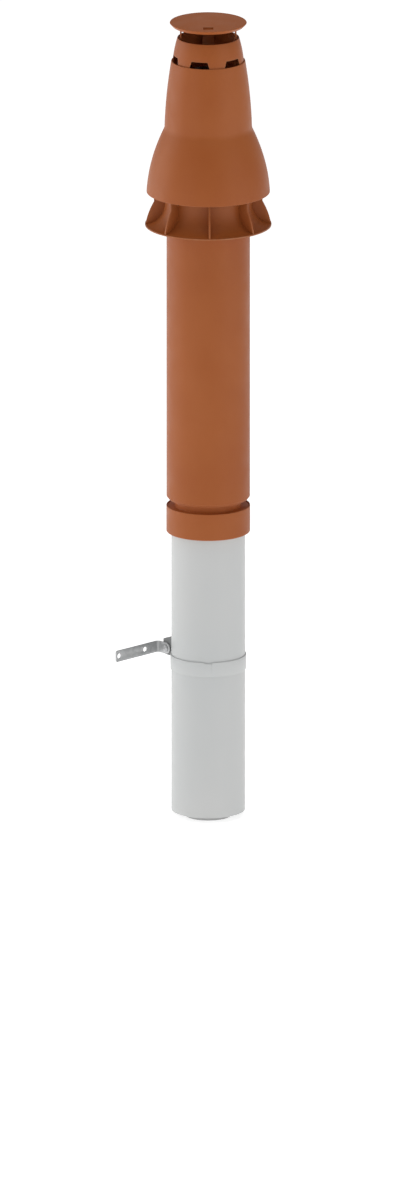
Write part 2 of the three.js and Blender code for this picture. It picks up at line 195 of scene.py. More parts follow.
def terracottaPlastic(name, drawn=False, fresh=1):
    # drawn: the faint long lines of an extruded tube; the last argument makes the colour paler, as
    # painted light on a part that lies in shade
    material, tree, shader, place = newMaterial(name, **{"IOR": 1.47, "Specular IOR Level": 0.25})
    deep, middle, pale = (tuple(c * fresh for c in terracotta[tone])
                          for tone in ("deep", "middle", "pale"))
    broad = noise(tree, place, 7, 0, detail=3)
    color = ramp(tree, broad, [(0.3, deep), (0.5, middle), (0.72, pale)], 0)
    fleck = spread(tree, noise(tree, place, 900, 1, detail=1), 0.62, 0.74, 0, 0.22, 1)
    color = mixed(tree, fleck, color, pale, 0)
    dark = spread(tree, noise(tree, place, 640, 2, detail=1), 0.64, 0.76, 0, 0.3, 2)
    color = mixed(tree, dark, color, deep, 1, -2)
    worn = wornEdges(tree, place, terracotta["edgeWear"], 3)
    color = mixed(tree, worn, color, terracotta["dust"], 2, -1)
    tree.links.new(color, shader.inputs["Base Color"])
    matt = noise(tree, place, 38, 4, detail=5, roughness=0.6)
    tree.links.new(spread(tree, matt, 0.3, 0.7, 0.40, 0.52, 4), shader.inputs["Roughness"])
    layers = [(noise(tree, place, 160, 6), 0.10, 0.25), (noise(tree, place, 1500, 7), 0.22, 0.08)]
    if drawn:
        lines = noise(tree, stretched(tree, place, (1, 1, 0.012), 8), 420, 8, detail=3)
        layers.insert(0, (lines, 0.16, 0.10))
    bumps(tree, shader, layers)
    return material


mouldedTerracotta = terracottaPlastic("moulded terracotta plastic")
drawnTerracotta = terracottaPlastic("drawn terracotta plastic", drawn=True)
# Painted light: this terracotta is 1.35 times paler so that the neck, in the collar's shaded cup,
# looks lit
paintedLitTerracotta = terracottaPlastic("sheltered terracotta plastic", fresh=1.35)

whiteCoat = {
    "base": (0.540, 0.545, 0.540),
    "cool": (0.516, 0.528, 0.526),
    "scuff": (0.40, 0.40, 0.39),
    "bare": (0.19, 0.195, 0.195),
    "fade": 1.5,  # width of the blend to dark grey
}


def whitePowderCoat(name, darkBeyond=None):  # past a radius, in mm, the colour blends to dark grey
    material, tree, shader, place = newMaterial(name, **{"IOR": 1.5, "Specular IOR Level": 0.32})
    broad = noise(tree, place, 5, 0, detail=3)
    color = ramp(tree, broad, [(0.35, whiteCoat["cool"]), (0.65, whiteCoat["base"])], 0)
    thin = noise(tree, stretched(tree, place, (1, 1, 0.05), 1), 260, 1, detail=6, roughness=0.7)
    scuffs = times(tree, spread(tree, thin, 0.66, 0.74, 0, 0.5, 1),
                   spread(tree, noise(tree, place, 18, 2), 0.5, 0.7, 0, 1, 2), 1)
    color = mixed(tree, scuffs, color, whiteCoat["scuff"], 1)
    matt = spread(tree, noise(tree, place, 60, 3, detail=4), 0.3, 0.7, 0.34, 0.46, 3)
    if darkBeyond:
        centred = addNode(tree, "ShaderNodeMapping", -8, 4)
        centred.inputs["Location"].default_value = (-axisX, 0, 0)
        centred.inputs["Scale"].default_value = (1, 1, 0)
        tree.links.new(place, centred.inputs["Vector"])
        radius = addNode(tree, "ShaderNodeVectorMath", -7, 4, operation="LENGTH")
        tree.links.new(centred.outputs["Vector"], radius.inputs[0])
        bare = spread(tree, radius.outputs["Value"], darkBeyond * mm,
                      (darkBeyond + whiteCoat["fade"]) * mm, 0, 1, 4)
        color = mixed(tree, bare, color, whiteCoat["bare"], 2, -2)
    tree.links.new(color, shader.inputs["Base Color"])
    tree.links.new(matt, shader.inputs["Roughness"])
    bumps(tree, shader, [(noise(tree, place, 240, 6), 0.12, 0.12),
                         (noise(tree, place, 1400, 7), 0.10, 0.03)])
    return material


pipeCoat = whitePowderCoat("white powder coat")
strapCoat = whitePowderCoat("white coat, bare ears", darkBeyond=70)

palePlastic = {
    "base": (0.47, 0.474, 0.47),
    "shade": (0.44, 0.444, 0.44),
    "soot": (0.022, 0.017, 0.012),
    "sootFrom": 1262, "sootFull": 1289,  # flue gas has stained the pipe's top end
}


def paleGreyPlastic(name):
    material, tree, shader, place = newMaterial(name, **{"IOR": 1.49, "Specular IOR Level": 0.45})
    color = ramp(tree, noise(tree, place, 9, 0, detail=3),
                 [(0.35, palePlastic["shade"]), (0.65, palePlastic["base"])], 0)
    split = addNode(tree, "ShaderNodeSeparateXYZ", -7, 5)
    tree.links.new(place, split.inputs["Vector"])
    stain = spread(tree, split.outputs["Z"], palePlastic["sootFrom"] * mm,
                   palePlastic["sootFull"] * mm, 0, 1, 5)
    streaks = spread(tree, noise(tree, stretched(tree, place, (1, 1, 0.1), 6), 90, 6, detail=4),
                     0.3, 0.6, 0.6, 1, 6)
    color = mixed(tree, times(tree, stain, streaks, 5), color, palePlastic["soot"], 1)
    tree.links.new(color, shader.inputs["Base Color"])
    matt = spread(tree, noise(tree, place, 50, 2, detail=4), 0.3, 0.7, 0.42, 0.55, 2)
    tree.links.new(matt, shader.inputs["Roughness"])
    lines = noise(tree, stretched(tree, place, (1, 1, 0.012), 3), 420, 3, detail=3)
    bumps(tree, shader, [(lines, 0.14, 0.08), (noise(tree, place, 1500, 4), 0.12, 0.04)])
    return material


fluePlastic = paleGreyPlastic("pale grey plastic")

zinc = {
    "dark": (0.42, 0.425, 0.43),
    "light": (0.52, 0.525, 0.53),
    "bright": (0.62, 0.62, 0.62),
    "spangle": 150,  # about 7 mm across
}


def galvanisedSteel(name):
    material, tree, shader, place = newMaterial(name, **{"Metallic": 0.7})
    cells = addNode(tree, "ShaderNodeTexVoronoi", -7, 0)
    cells.inputs["Scale"].default_value = zinc["spangle"]
    tree.links.new(place, cells.inputs["Vector"])
    split = addNode(tree, "ShaderNodeSeparateColor", -6, 0)
    tree.links.new(cells.outputs["Color"], split.inputs["Color"])
    color = ramp(tree, split.outputs["Red"], [(0, zinc["dark"]), (1, zinc["light"])], 0)
    worn = wornEdges(tree, place, 0.5, 2)
    color = mixed(tree, worn, color, zinc["bright"], 1)
    tree.links.new(color, shader.inputs["Base Color"])
    tree.links.new(spread(tree, split.outputs["Green"], 0, 1, 0.42, 0.58, 3),
                   shader.inputs["Roughness"])
    bumps(tree, shader, [(noise(tree, place, 90, 4), 0.12, 0.2),
                         (noise(tree, place, 1100, 5, detail=4), 0.2, 0.05)])
    return material


zincSteel = galvanisedSteel("dull galvanised steel")
print("materials:", len(bpy.data.materials))


# Outlines and turned pieces

def softOutline(corners, steps=4, support=0.5):
    points = []
    for i, corner in enumerate(corners):
        here = Vector(corner[:2])
        rounding = corner[2] if len(corner) > 2 else 0
        if not rounding:
            points.append(tuple(here))
            continue
        toBefore = Vector(corners[i - 1][:2]) - here
        toAfter = Vector(corners[(i + 1) % len(corners)][:2]) - here
        half = toBefore.angle(toAfter) / 2
        reach = rounding / tan(half)
        inwards = (toBefore.normalized() + toAfter.normalized()).normalized()
        middle = here + inwards * (rounding / sin(half))
        start = here + toBefore.normalized() * reach
        end = here + toAfter.normalized() * reach
        if toBefore.length > 2 * (reach + support):
            points.append(tuple(start + toBefore.normalized() * support))
        for step in range(steps + 1):
            spoke = (start - middle).lerp(end - middle, step / steps).normalized()
            points.append(tuple(middle + spoke * rounding))
        if toAfter.length > 2 * (reach + support):
            points.append(tuple(end + toAfter.normalized() * support))
    return points


def makeTurnedTree():
    tree, start, end = newTree("turned piece", [("Sides", "Int"), ("Path Radius", "Float"),
                                                ("Axis X", "Float"), ("Material", "Material")])
    outline = addNode(tree, "GeometryNodeMeshToCurve", -3, 0)
    path = addNode(tree, "GeometryNodeCurvePrimitiveCircle", -3, 1)
    wall = addNode(tree, "GeometryNodeCurveToMesh", -2, 0)
    poles = addNode(tree, "GeometryNodeMergeByDistance", -1, 0)
    poles.inputs["Distance"].default_value = 1e-5
    shift = addNode(tree, "ShaderNodeCombineXYZ", -1, 1)
    placed = addNode(tree, "GeometryNodeTransform", 0, 0)
    real = addNode(tree, "GeometryNodeRealizeInstances", 2, 0)
    coated = addNode(tree, "GeometryNodeSetMaterial", 3, 0)
    link = tree.links.new
    link(start.outputs["Geometry"], outline.inputs["Mesh"])
    link(start.outputs["Sides"], path.inputs["Resolution"])
    link(start.outputs["Path Radius"], path.inputs["Radius"])
    link(path.outputs["Curve"], wall.inputs["Curve"])
    link(outline.outputs["Curve"], wall.inputs["Profile Curve"])
    link(wall.outputs["Mesh"], poles.inputs["Geometry"])
    link(start.outputs["Axis X"], shift.inputs["X"])
    link(poles.outputs["Geometry"], placed.inputs["Geometry"])
    link(shift.outputs["Vector"], placed.inputs["Translation"])
    link(placed.outputs["Geometry"], real.inputs["Geometry"])
    link(real.outputs["Geometry"], coated.inputs["Geometry"])
    link(start.outputs["Material"], coated.inputs["Material"])
    link(coated.outputs["Geometry"], end.inputs["Geometry"])
    return tree


turnedTree = makeTurnedTree()
pathRadius = 50  # of the circle that the outline follows


def turned(name, outline, material, count=sides, centre=None):
    # the outline runs anticlockwise in (radius, height); off the axis it closes itself
    onAxis = outline[0][0] == 0
    corners = [(r - pathRadius, -z) for r, z in reversed(outline)]
    edges = [(i, i + 1) for i in range(len(corners) - 1)]
    if not onAxis:
        edges.append((len(corners) - 1, 0))
    mesh = bpy.data.meshes.new(name)
    mesh.from_pydata([(x * mm, y * mm, 0) for x, y in corners], edges, [])
    piece = bpy.data.objects.new(name, mesh)
    scene.collection.objects.link(piece)
    return runTree(piece, turnedTree, sides=count, pathRadius=pathRadius * mm,
                   axisX=axisX if centre is None else centre, material=material)


def makeAroundTree(operation):  # copies of one object around the axis, joined on or cut out
    tree, start, end = newTree("copies around, " + operation.lower(),
                               [("Copy", "Object"), ("Count", "Int"), ("First Turn", "Float"),
                                ("Axis X", "Float"), ("Material", "Material")])
    copied = addNode(tree, "GeometryNodeObjectInfo", -3, 2)
    copied.inputs["As Instance"].default_value = True
    centre = addNode(tree, "ShaderNodeCombineXYZ", -4, 1)
    points = addNode(tree, "GeometryNodePoints", -3, 1)
    index = addNode(tree, "GeometryNodeInputIndex", -4, 3)
    full = addNode(tree, "ShaderNodeMath", -4, 4, operation="DIVIDE")
    full.inputs[0].default_value = 2 * pi
    each = addNode(tree, "ShaderNodeMath", -3, 4, operation="MULTIPLY_ADD")
    turn = addNode(tree, "ShaderNodeCombineXYZ", -2, 3)
    spot = addNode(tree, "GeometryNodeInstanceOnPoints", -1, 1)
    solid = addNode(tree, "GeometryNodeRealizeInstances", 0, 1)
    merged = addNode(tree, "GeometryNodeMeshBoolean", 1, 0, operation=operation, solver="EXACT")
    real = addNode(tree, "GeometryNodeRealizeInstances", 2, 0)
    coated = addNode(tree, "GeometryNodeSetMaterial", 3, 0)
    link = tree.links.new
    link(start.outputs["Copy"], copied.inputs["Object"])
    link(start.outputs["Axis X"], centre.inputs["X"])
    link(start.outputs["Count"], points.inputs["Count"])
    link(centre.outputs["Vector"], points.inputs["Position"])
    link(start.outputs["Count"], full.inputs[1])
    link(index.outputs["Index"], each.inputs[0])
    link(full.outputs["Value"], each.inputs[1])
    link(start.outputs["First Turn"], each.inputs[2])
    link(each.outputs["Value"], turn.inputs["Z"])
    link(points.outputs["Points"], spot.inputs["Points"])
    link(copied.outputs["Geometry"], spot.inputs["Instance"])
    link(turn.outputs["Vector"], spot.inputs["Rotation"])
    link(spot.outputs["Instances"], solid.inputs["Geometry"])
    first = "Mesh 2" if operation == "UNION" else "Mesh 1"
    link(start.outputs["Geometry"], merged.inputs[first])
    link(solid.outputs["Geometry"], merged.inputs["Mesh 2"])
    link(merged.outputs["Mesh"], real.inputs["Geometry"])
    link(real.outputs["Geometry"], coated.inputs["Geometry"])
    link(start.outputs["Material"], coated.inputs["Material"])
    link(coated.outputs["Geometry"], end.inputs["Geometry"])
    return tree


joinAround = makeAroundTree("UNION")
cutAround = makeAroundTree("DIFFERENCE")


def around(piece, tree, copy, count, firstTurn, material):
    runTree(piece, tree, copy=copy, count=count, firstTurn=radians(firstTurn), axisX=axisX,
            material=material)
    bpy.data.objects.remove(copy)
    return piece


def plate(name, outline, thick, rounding=0.0):
    # a plate that stands on edge in the XZ plane, centred on Y, its first coordinate along +X
    bm = bmesh.new()
    face = bm.faces.new([bm.verts.new((x * mm, -thick / 2 * mm, z * mm)) for x, z in outline])
    made = bmesh.ops.extrude_face_region(bm, geom=[face])
    grown = [v for v in made["geom"] if isinstance(v, bmesh.types.BMVert)]
    bmesh.ops.translate(bm, verts=grown, vec=(0, thick * mm, 0))
    bmesh.ops.recalc_face_normals(bm, faces=bm.faces)
    return pieceOf(name, bm, rounding)


def pieceOf(name, bm, rounding=0.0, steps=2):
    mesh = bpy.data.meshes.new(name)
    bm.to_mesh(mesh)
    bm.free()
    piece = bpy.data.objects.new(name, mesh)
    scene.collection.objects.link(piece)
    if rounding:
        bevel = piece.modifiers.new("rounded edges", "BEVEL")
        bevel.width = rounding * mm
        bevel.segments = steps
        bevel.limit_method = "ANGLE"
        bevel.angle_limit = radians(35)
        settle(piece)
    return piece


def finish(piece, node, sharp=34):
    bm = bmesh.new()
    bm.from_mesh(piece.data)
    for face in bm.faces:
        face.smooth = True
    for edge in bm.edges:
        edge.smooth = edge.is_manifold and edge.calc_face_angle() < radians(sharp)
    bm.to_mesh(piece.data)
    bm.free()
    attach(piece, "root")
    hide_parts(node)
    print(piece.name, "stands for", node, "-", len(piece.data.polygons), "faces")
    return piece


# Pipes

fluePipe = {"radius": 40, "wall": 2, "bottom": 0, "top": 1302, "rounding": 0.6}
outerPipe = {"radius": 62.5, "wall": 1.5, "bottom": 10, "top": 537.2, "rounding": 0.5}


def pipe(name, size, material):
    inside, outside = size["radius"] - size["wall"], size["radius"]
    soft = size["rounding"]
    outline = softOutline([(inside, size["bottom"], soft), (outside, size["bottom"], soft),
                           (outside, size["top"], soft), (inside, size["top"], soft)])
    return turned(name, outline, material)


finish(pipe("innerFluePipe", fluePipe, fluePlastic), "inner_flue_pipe")
finish(pipe("outerPipe", outerPipe, pipeCoat), "outer_pipe")

# Collar around the joint, and the flanged neck inside it

collar = {
    "radius": 71, "wall": 2, "bottom": 498.4, "top": 544.3,
    "flange": 2.5, "chamfer": 1.6, "rounding": 0.7,
}
neck = {
    "radius": 56, "wall": 2, "flangeTop": 543, "flange": 5.5, "top": 600,
    "fillet": 1.2, "rounding": 0.6,
}


def makeCollar():
    outside, inside = collar["radius"], collar["radius"] - collar["wall"]
    low, high = collar["bottom"], collar["top"]
    flangeTop, flangeInside = low + collar["flange"], outerPipe["radius"] + gap
    soft = collar["rounding"]
    outline = softOutline([
        (flangeInside, low, soft),
        (outside, low, collar["chamfer"]),
        (outside, high, soft),
        (inside, high, soft),
        (inside, flangeTop, soft),
        (flangeInside, flangeTop, soft),
    ])
    return turned("collarRing", outline, mouldedTerracotta)


def makeNeck():
    outside, inside = neck["radius"], neck["radius"] - neck["wall"]
    flangeR = collar["radius"] - collar["wall"] - gap
    flangeLow = neck["flangeTop"] - neck["flange"]
    soft = neck["rounding"]
    outline = softOutline([
        (inside, flangeLow, soft),
        (flangeR, flangeLow, soft),
        (flangeR, neck["flangeTop"], soft),
        (outside, neck["flangeTop"], neck["fillet"]),
        (outside, neck["top"], soft),
        (inside, neck["top"], soft),
    ])
    # the neck takes the paler terracotta: painted light in the collar's shaded cup
    return turned("collarNeck", outline, paintedLitTerracotta)


finish(makeCollar(), "collar")
finish(makeNeck(), "collar_neck")

# Long terracotta tube

outerTube = {
    "radius": 70.7, "wall": 2, "bottom": 560, "top": 1180, "rounding": 0.6,
    "stepRadius": 68, "step": 3.4, "stepRounding": 0.4, "flange": 2.5,
}


def makeTube():
    outside, inside = outerTube["radius"], outerTube["radius"] - outerTube["wall"]
    low, high = outerTube["bottom"], outerTube["top"]
    soft = outerTube["rounding"]
    foot, stepR = low - outerTube["step"], outerTube["stepRadius"]
    stepInside = stepR - outerTube["wall"]
    flangeInside, flangeTop = neck["radius"] + gap, foot + outerTube["flange"]
    outline = softOutline([
        (flangeInside, foot, soft),
        (stepR, foot, soft),
        (stepR, low, outerTube["stepRounding"]),
        (outside, low, soft),
        (outside, high, soft),
        (inside, high, soft),
        (inside, low + outerTube["wall"], soft),
        (stepInside, low + outerTube["wall"], outerTube["stepRounding"]),
        (stepInside, flangeTop, soft),
        (flangeInside, flangeTop, soft),
    ])
    return turned("outerTube", outline, drawnTerracotta)


finish(makeTube(), "outer_tube")

# Hood: a cone, a crease and a bell skirt

hood = {
    "topRadius": 62.7, "top": 1323, "creaseRadius": 74.3, "crease": 1205,
    "skirtRadius": 104.7, "skirt": 1093, "coneBow": 2.1, "skirtBow": 6.1,
    "wall": 2.2, "floor": 1290, "floorThick": 2.5, "floorRounding": 0.5,
    "steps": 22, "neckSteps": 4, "rounding": 0.8,
}


def hoodRadius(z):
    if z > hood["crease"]:
        endR, endZ, bow = hood["topRadius"], hood["top"], hood["coneBow"]
    else:
        endR, endZ, bow = hood["skirtRadius"], hood["skirt"], hood["skirtBow"]
    t = (z - hood["crease"]) / (endZ - hood["crease"])
    return hood["creaseRadius"] + (endR - hood["creaseRadius"]) * t + 4 * bow * t * (1 - t)


def hoodInside(z):
    return hoodRadius(z) - hood["wall"]


def along(radiusAt, low, high, steps, rounding=(0, 0)):
    points = []
    for step in range(steps + 1):
        z = low + (high - low) * step / steps
        soft = rounding[0] if step == 0 else rounding[1] if step == steps else 0
        points.append((radiusAt(z), z, soft))
    return points


def makeHood():
    soft, steps = hood["rounding"], hood["steps"]
    floorTop, floorHole = hood["floor"] + hood["floorThick"], fluePipe["radius"] + gap
    corners = [
        *along(hoodRadius, hood["skirt"], hood["crease"], steps, (soft, 0)),
        *along(hoodRadius, hood["crease"], hood["top"], steps, (0, soft))[1:],
        *along(hoodInside, hood["top"], floorTop, hood["neckSteps"], (soft, 0)),
        (floorHole, floorTop, hood["floorRounding"]),
        (floorHole, hood["floor"], hood["floorRounding"]),
        *along(hoodInside, hood["floor"], hood["crease"], steps),
        *along(hoodInside, hood["crease"], hood["skirt"], steps, (0, soft))[1:],
    ]
    return turned("bellHood", softOutline(corners), mouldedTerracotta)


finish(makeHood(), "hood")

# Deflector: brim, sleeve and the ribs that carry the hood

deflector = {
    "rimRadius": 107.2, "rim": 1035, "rise": 38, "wall": 2, "steps": 18,
    "sleeveWall": 2.4, "sleeveTop": 1150, "rounding": 0.8,
}
rib = {
    "count": 8, "thick": 3, "turn": 1.3, "shoulderRadius": 92, "shoulder": 1076,
    "bow": 2, "edgeSteps": 8, "top": 1160, "clear": 0.8, "rounding": 0.5,
}


def brimCurve(rimR, rimZ, sleeveR, rise, steps):
    points = []
    for step in range(steps + 1):
        angle = step / steps * pi / 2
        points.append((rimR - (rimR - sleeveR) * sin(angle), rimZ + rise * (1 - cos(angle)), 0))
    return points


def bowed(start, end, bow, steps):
    points = []
    for step in range(steps + 1):
        t = step / steps
        points.append((start[0] + (end[0] - start[0]) * t + 4 * bow * t * (1 - t),
                       start[1] + (end[1] - start[1]) * t, 0))
    return points


def ribMeetsHood():
    z = hood["skirt"]
    while hoodInside(z + 1) - rib["clear"] > rib["shoulderRadius"]:
        z += 1
    return z


def makeDeflector():
    size = deflector
    inside = outerTube["radius"] + gap
    outside = inside + size["sleeveWall"]
    rimR, rimZ, rise = size["rimRadius"], size["rim"], size["rise"]
    wall, steps, soft = size["wall"], size["steps"], size["rounding"]
    over = brimCurve(rimR, rimZ + wall, outside, rise, steps)
    under = brimCurve(rimR, rimZ, inside, rise, steps)[::-1]
    corners = [*over, (outside, size["sleeveTop"], soft), (inside, size["sleeveTop"], soft), *under]
    body = turned("ribbedDeflector", softOutline(corners), mouldedTerracotta)

    middle = (inside + outside) / 2
    seat = brimCurve(rimR - into, rimZ + wall / 2, middle, rise, steps)[::-1]
    outline = [
        *bowed((rimR - into, rimZ + wall), (rib["shoulderRadius"], rib["shoulder"]), rib["bow"],
               rib["edgeSteps"]),
        (rib["shoulderRadius"], ribMeetsHood(), 0),
        (hoodInside(rib["top"]) - rib["clear"], rib["top"], 0),
        (middle, size["sleeveTop"] - into, 0),
        *seat[:-1],
    ]
    blade = plate("rib", [(x, z) for x, z, soft in outline], rib["thick"], rib["rounding"])
    return around(body, joinAround, blade, rib["count"], rib["turn"] - 90, mouldedTerracotta)


finish(makeDeflector(), "deflector")

# Outlet ring, with the gas slots in its foot

outlet = {
    "topRadius": 52.3, "top": 1363.5, "bow": 1.2, "wall": 1.8, "steps": 10, "rounding": 0.5,
    "slots": 6, "firstSlot": 45, "slotTop": 1334, "topAngle": 27, "rimAngle": 34,
    "slotRounding": 1.5, "slotSupport": 9,
}


def makeOutlet():
    foot = hood["floor"] + hood["floorThick"] + gap
    rimR = hoodInside(hood["top"]) - gap
    soft = outlet["rounding"]
    outside = bowed((rimR, hood["top"]), (outlet["topRadius"], outlet["top"]), outlet["bow"],
                    outlet["steps"])
    inside = [(r - outlet["wall"], z, 0) for r, z, flat in outside][::-1]
    outside[-1] = (*outside[-1][:2], soft)
    inside[0] = (*inside[0][:2], soft)
    corners = [(rimR, foot, soft), *outside, *inside, (rimR - outlet["wall"], foot, soft)]
    body = turned("outletRing", softOutline(corners), mouldedTerracotta)

    halfTop = rimR * sin(radians(outlet["topAngle"] / 2))
    halfLow = rimR * sin(radians(outlet["rimAngle"] / 2))
    corner, slotFoot, slotLong = outlet["slotRounding"], foot - 2 * into, rimR + 2 * into
    shape = softOutline([
        (-halfLow, slotFoot),
        (halfLow, slotFoot),
        (halfLow, hood["top"], corner),
        (halfTop, outlet["slotTop"], corner),
        (-halfTop, outlet["slotTop"], corner),
        (-halfLow, hood["top"], corner),
    ], support=outlet["slotSupport"])
    cutter = plate("slot", shape, slotLong)
    cutter.data.transform(Matrix.Translation((0, -slotLong / 2 * mm, 0)))
    return around(body, cutAround, cutter, outlet["slots"], outlet["firstSlot"], mouldedTerracotta)


finish(makeOutlet(), "outlet_ring")

# Rain cap: a shallow lid with a finger recess, on three legs

cap = {
    "radius": 65.4, "top": 1390, "dome": 1.2, "plate": 2.2, "rings": 8,
    "bevelDown": 0.9, "bevelIn": 0.8, "edge": 0.5,
    "lip": 6.2, "lipRadius": 60.5, "lipWall": 2, "lipRoot": 3.2,
    "rootRounding": 0.8, "lipRounding": 0.5, "lipInnerRounding": 0.4,
    "legsAt": ((2, 90), (1, 180)),  # how many, and where the first stands
    "legRadius": 46.5, "legWide": 20, "legThick": 3, "legRounding": 0.5,
    "recessWide": 17.5, "recessLong": 16, "recessDeep": 3, "recessRounding": 1.2,
    "bossRounding": 0.4,
}


def block(name, wide, long, low, high, radius, rounding):  # stands in front of the axis
    bm = bmesh.new()
    bmesh.ops.create_cube(bm, size=1)
    size = Matrix.Diagonal((wide * mm, long * mm, (high - low) * mm, 1))
    place = Matrix.Translation((0, -radius * mm, (high + low) / 2 * mm))
    bmesh.ops.transform(bm, matrix=place @ size, verts=bm.verts)
    return pieceOf(name, bm, rounding, steps=3)


def makeCap():
    under, lipFoot = cap["top"] - cap["plate"], cap["top"] - cap["lip"]
    crown = [(cap["radius"] * (1 - i / cap["rings"]), i / cap["rings"])
             for i in range(1, cap["rings"])]
    corners = [
        (0, under + cap["dome"]),
        (cap["radius"] - cap["lipRoot"], under, cap["rootRounding"]),
        (cap["lipRadius"] - cap["lipWall"], lipFoot, cap["lipInnerRounding"]),
        (cap["lipRadius"], lipFoot, cap["lipRounding"]),
        (cap["radius"], cap["top"] - cap["bevelDown"], cap["edge"]),
        (cap["radius"] - cap["bevelIn"], cap["top"], cap["edge"]),
        *[(r, cap["top"] + cap["dome"] * (1 - (1 - t) ** 2), 0) for r, t in crown],
        (0, cap["top"] + cap["dome"]),
    ]
    body = turned("rainCap", softOutline(corners), mouldedTerracotta)

    foot = hood["floor"] + hood["floorThick"] + gap
    for count, first in cap["legsAt"]:  # one on each side and one behind
        leg = block("leg", cap["legWide"], cap["legThick"], foot, under + into, cap["legRadius"],
                    cap["legRounding"])
        around(body, joinAround, leg, count, first, mouldedTerracotta)
    pocketFloor = cap["top"] - cap["recessDeep"]
    side = cap["legWide"] - cap["recessWide"]
    boss = block("boss", cap["legWide"], cap["recessLong"] + side, pocketFloor - cap["plate"],
                 under + into, cap["legRadius"], cap["bossRounding"])
    around(body, joinAround, boss, 1, 0, mouldedTerracotta)
    recess = block("recess", cap["recessWide"], cap["recessLong"], pocketFloor,
                   cap["top"] + 4 * into, cap["legRadius"], cap["recessRounding"])
    return around(body, cutAround, recess, 1, 0, mouldedTerracotta)


finish(makeCap(), "rain_cap")


# Bracket. Both sheets are cut flat, along s with height z, and bent along a path.

def travel(path, s):
    # place and heading at a distance along a path of ("go", length) and ("turn", radius, degrees)
    here, heading = Vector(path["start"]), radians(path["heading"])
    for step in path["steps"]:
        straight = step[0] == "go"
        length = step[1] if straight else step[1] * radians(abs(step[2]))
        part = min(max(s, 0), length) if step is not path["steps"][-1] else s
        if straight:
            here = here + Vector((cos(heading), sin(heading))) * part
        else:
            way = 1 if step[2] > 0 else -1
            side = heading + way * pi / 2
            middle = here + Vector((cos(side), sin(side))) * step[1]
            heading += way * part / step[1]
            side = heading + way * pi / 2
            here = middle - Vector((cos(side), sin(side))) * step[1]
        if s <= length:
            break
        s -= length
    return here, heading


def bentSheet(name, outline, holes, thick, path, cuts, material, rounding):
    bm = bmesh.new()
    rims = []
    for loop in [outline, *holes]:
        ring = [bm.verts.new((s, 0, z)) for s, z in loop]
        rims += [bm.edges.new((ring[i - 1], ring[i])) for i in range(len(ring))]
    bmesh.ops.triangle_fill(bm, use_beauty=True, use_dissolve=False, edges=rims)
    for s in cuts:
        bmesh.ops.bisect_plane(bm, geom=bm.verts[:] + bm.edges[:] + bm.faces[:], dist=1e-4,
                               plane_co=(s, 0, 0), plane_no=(1, 0, 0))
    made = bmesh.ops.extrude_face_region(bm, geom=bm.faces[:])
    grown = set(v for v in made["geom"] if isinstance(v, bmesh.types.BMVert))
    for vert in bm.verts:
        place, heading = travel(path, vert.co.x)
        across = thick / 2 if vert in grown else -thick / 2
        flat = place + Vector((-sin(heading), cos(heading))) * across
        vert.co = inBracket @ Vector((flat.x * mm, flat.y * mm, vert.co.z * mm))
    bmesh.ops.recalc_face_normals(bm, faces=bm.faces)
    piece = pieceOf(name, bm, rounding)
    piece.data.materials.clear()
    piece.data.materials.append(material)
    return piece


def ring(s, z, radius, corners=20):
    return [(s + radius * cos(2 * pi * i / corners), z + radius * sin(2 * pi * i / corners))
            for i in range(corners)]


strap = {
    "top": 283, "tall": 25, "thick": 1.5, "notchWide": 13, "notchDeep": 2,
    "earSpace": 2, "earEnd": 105, "earPeak": 87, "earTop": (283, 296.5, 290),
    "earLow": (258, 262.5, 263.8), "rootRadius": 3, "rounding": 0.35,
    "endRounding": 1.5, "peakRounding": 5, "bandRounding": 3, "notchRounding": 0.8,
    "bandCuts": 120, "rootCuts": 6,
}
arm = {
    "tall": 19.5, "bottom": 264.8, "thick": 2.5, "start": 87.5, "bendAt": 118, "bendRadius": 4,
    "leg": 104.5, "corner": 3, "cornerSteps": 6, "screwHole": 4.5, "holeCorners": 28,
    "screwsFromEnd": (7, 69), "endSteps": 24, "bendCuts": 10, "rounding": 0.4,
}
bolt = {
    "radius": 3, "head": 6, "headTall": 3.5, "at": 97, "rounding": 0.5, "sides": 48,
    "tipRounding": 0.6, "neckRounding": 0.3, "domeStep": 10, "nutSides": 6,
}
boltHeight = arm["bottom"] + arm["tall"] / 2


